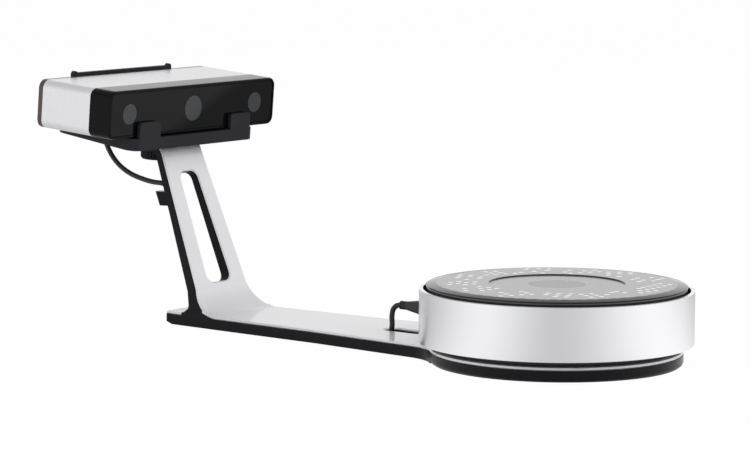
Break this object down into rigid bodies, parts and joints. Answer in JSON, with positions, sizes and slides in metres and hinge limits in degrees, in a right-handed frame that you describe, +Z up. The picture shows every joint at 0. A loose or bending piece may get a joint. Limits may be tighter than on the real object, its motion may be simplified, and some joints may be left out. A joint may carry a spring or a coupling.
{
  "type": "desktop 3d scanner",
  "caption": "Desktop 3D scanner: a wide head with two cameras and a projector on a leaning stand, joined by a flat bar to a powered turntable.",
  "frame": {"origin": "the turntable's axis at the surface that the scanner stands on", "axes": "+X from the stand towards the turntable, the way the head looks; +Z up; +Y to the left of that"},
  "size_m": [0.5662, 0.21, 0.2043],
  "materials": {
    "base_black": "fine satin moulding",
    "satin_silver": "satin silver paint",
    "ring_metal": "turned and polished",
    "black_rubber": "matte",
    "gloss_black": "gloss",
    "cover_brown": "semi-gloss",
    "cradle_black": "fine grain",
    "dark_glass": "polished, backed with black",
    "window_glass": "coated",
    "clear_glass": "polished",
    "steel": "turned",
    "brass": "turned",
    "gear_plastic": "moulded",
    "board_green": "solder mask",
    "zinc": "zinc plated"
  },
  "bodies": {
    "root": {"base_moulding": "base_black", "top_skin": "satin_silver", "toe_cover": "satin_silver", "channel_cover": "base_black", "toe_pad": "black_rubber", "disc_pad": "black_rubber", "base_screws": "steel", "riser_spine": "base_black", "spine_screws": "steel", "cable_clip": "base_black", "lead": "black_rubber", "lead_head_plug": "black_rubber", "lead_table_plug": "black_rubber", "cradle": "cradle_black", "cradle_strips": "black_rubber", "cradle_screws": "steel", "tripod_nut": "brass", "head_sleeve": "satin_silver", "front_bezel": "gloss_black", "front_glass": "dark_glass", "window_lenses": "window_glass", "rear_cover": "cover_brown", "power_socket": "base_black", "data_socket": "steel", "head_screws": "steel", "chassis_rail": "zinc", "left_camera": "cradle_black", "right_camera": "cradle_black", "light_engine": "cradle_black", "projector_barrel": "cradle_black", "projector_lens": "clear_glass", "head_board": "board_green", "turntable_ring": "ring_metal", "turntable_floor": "base_black", "turntable_pads": "black_rubber", "turntable_screws": "steel", "spindle": "steel", "bearing_inner_race": "steel", "bearing_balls": "steel", "motor": "steel", "motor_bracket": "zinc", "turntable_board": "board_green", "turntable_socket": "steel"},
    "platter": {"platter_carrier": "base_black", "platter_gear": "gear_plastic", "marker_glass": "dark_glass", "middle_plate": "dark_glass", "middle_disc": "dark_glass", "bearing_outer_race": "steel"},
    "pinion": {"motor_pinion": "gear_plastic"},
    "knob": {"thumb_screw": "gloss_black"},
    "button": {"power_button": "gloss_black"}
  },
  "joints": [
    {"name": "platter_spin", "type": "hinge", "parent": "root", "child": "platter", "pos_m": [0, 0, 0], "axis": [0, 0, 1], "continuous": true},
    {"name": "pinion_spin", "type": "hinge", "parent": "root", "child": "pinion", "pos_m": [0, 0.048, 0], "axis": [0, 0, 1], "continuous": true},
    {"name": "thumb_screw_turn", "type": "hinge", "parent": "root", "child": "knob", "pos_m": [-0.40625, 0, 0.13988], "axis": [0.0793, 0, 0.9968], "continuous": true},
    {"name": "power_button_press", "type": "slide", "parent": "root", "child": "button", "axis": [0.9968, 0, -0.0793], "range_m": [0, 0.001], "stiffness_N_per_m": 400, "springref_m": -0.002}
  ],
  "couplings": [
    {"joint": "pinion_spin", "follows": "platter_spin", "ratio": -5}
  ]
}
